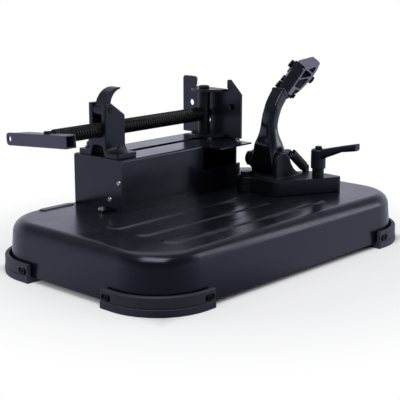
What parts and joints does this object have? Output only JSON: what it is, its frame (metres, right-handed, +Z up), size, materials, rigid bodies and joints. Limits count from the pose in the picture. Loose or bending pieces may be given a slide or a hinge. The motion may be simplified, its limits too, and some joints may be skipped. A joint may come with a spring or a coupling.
{
  "type": "angle grinder cut-off stand",
  "caption": "Bench stand for an angle grinder: hollow steel base on rubber feet, quick-release screw vise, mitre base and a spring-returned swing arm with a tool bracket.",
  "frame": {"origin": "centre of the feet's outline on the floor", "axes": "+X from the crank towards the swing arm, +Y towards the vise's side, +Z up"},
  "size_m": [0.48, 0.301, 0.2331],
  "materials": {
    "black_powder": "semi-gloss black powder coat",
    "gloss_black": "glossy black paint on sheet steel",
    "cast_black": "black painted casting",
    "foot_rubber": "matt moulded rubber",
    "black_oxide": "oiled black oxide",
    "zinc_steel": "zinc plated",
    "crank_paint": "satin black paint on square tube",
    "spring_steel": "blackened spring wire"
  },
  "bodies": {
    "stand": {"base_cover": "black_powder", "foot_front_right": "foot_rubber", "foot_front_left": "foot_rubber", "foot_rear_right": "foot_rubber", "foot_rear_left": "foot_rubber", "foot_screws": "black_oxide", "vise_bed": "gloss_black", "bed_end_plate": "gloss_black", "fence_plate": "gloss_black", "bed_screws": "zinc_steel", "screw_block": "cast_black", "block_nuts": "zinc_steel", "half_nut_pin": "black_oxide", "swivel_bolt": "black_oxide", "swivel_washer": "black_oxide"},
    "half_nut": {"half_nut_lever": "cast_black"},
    "carriage": {"jaw_post": "black_oxide", "post_cap": "black_oxide", "guide_washer": "zinc_steel", "guide_nut": "zinc_steel"},
    "screw": {"vise_screw": "black_oxide", "crank_tube": "crank_paint", "crank_bolt": "black_oxide", "spigot_ring": "spring_steel"},
    "jaw": {"jaw_plate": "gloss_black"},
    "turntable": {"swivel_base": "cast_black", "pivot_axle": "black_oxide", "pivot_washers": "zinc_steel", "spring_anchor": "black_oxide", "return_spring": "spring_steel", "lock_nut_plate": "zinc_steel"},
    "lock_core": {"lock_stud": "black_oxide", "lock_screw": "black_oxide", "lock_spring": "spring_steel"},
    "lock_handle": {"lock_lever": "cast_black"},
    "arm": {"swing_arm": "cast_black", "bracket_stud": "black_oxide", "clamp_block": "cast_black", "grinder_frame": "crank_paint", "clamp_bolts": "black_oxide", "clamp_nuts": "black_oxide"}
  },
  "joints": [
    {"name": "half_nut_lift", "type": "hinge", "parent": "stand", "child": "half_nut", "pos_m": [-0.107, 0.078, 0.1836], "axis": [0, -1, 0], "range_deg": [0, 35]},
    {"name": "jaw_slide", "type": "slide", "parent": "stand", "child": "carriage", "axis": [-1, 0, 0], "range_m": [0, 0.112]},
    {"name": "screw_spin", "type": "hinge", "parent": "carriage", "child": "screw", "pos_m": [0.073, 0.078, 0.1596], "axis": [-1, 0, 0], "range_deg": [0, 10080]},
    {"name": "jaw_swivel", "type": "hinge", "parent": "carriage", "child": "jaw", "pos_m": [0.073, 0.078, 0.16], "axis": [0, 0, 1], "range_deg": [-20, 5]},
    {"name": "base_swivel", "type": "hinge", "parent": "stand", "child": "turntable", "pos_m": [0.083, 0.012, 0.0733], "axis": [0, 0, 1], "range_deg": [0, 45]},
    {"name": "lock_turn", "type": "hinge", "parent": "turntable", "child": "lock_core", "pos_m": [0.14, -0.061, 0.09], "axis": [0, 0, 1], "range_deg": [-60, 60]},
    {"name": "lock_lift", "type": "slide", "parent": "lock_core", "child": "lock_handle", "axis": [0, 0, 1], "range_m": [0, 0.0035], "deforming": ["lock_spring"]},
    {"name": "arm_swing", "type": "hinge", "parent": "turntable", "child": "arm", "pos_m": [0.1, -0.0115, 0.104], "axis": [0, -1, 0], "range_deg": [0, 60], "deforming": ["return_spring"]}
  ],
  "couplings": [
    {"joint": "screw_spin", "follows": "jaw_slide", "rad_per_m": 1570.8}
  ]
}
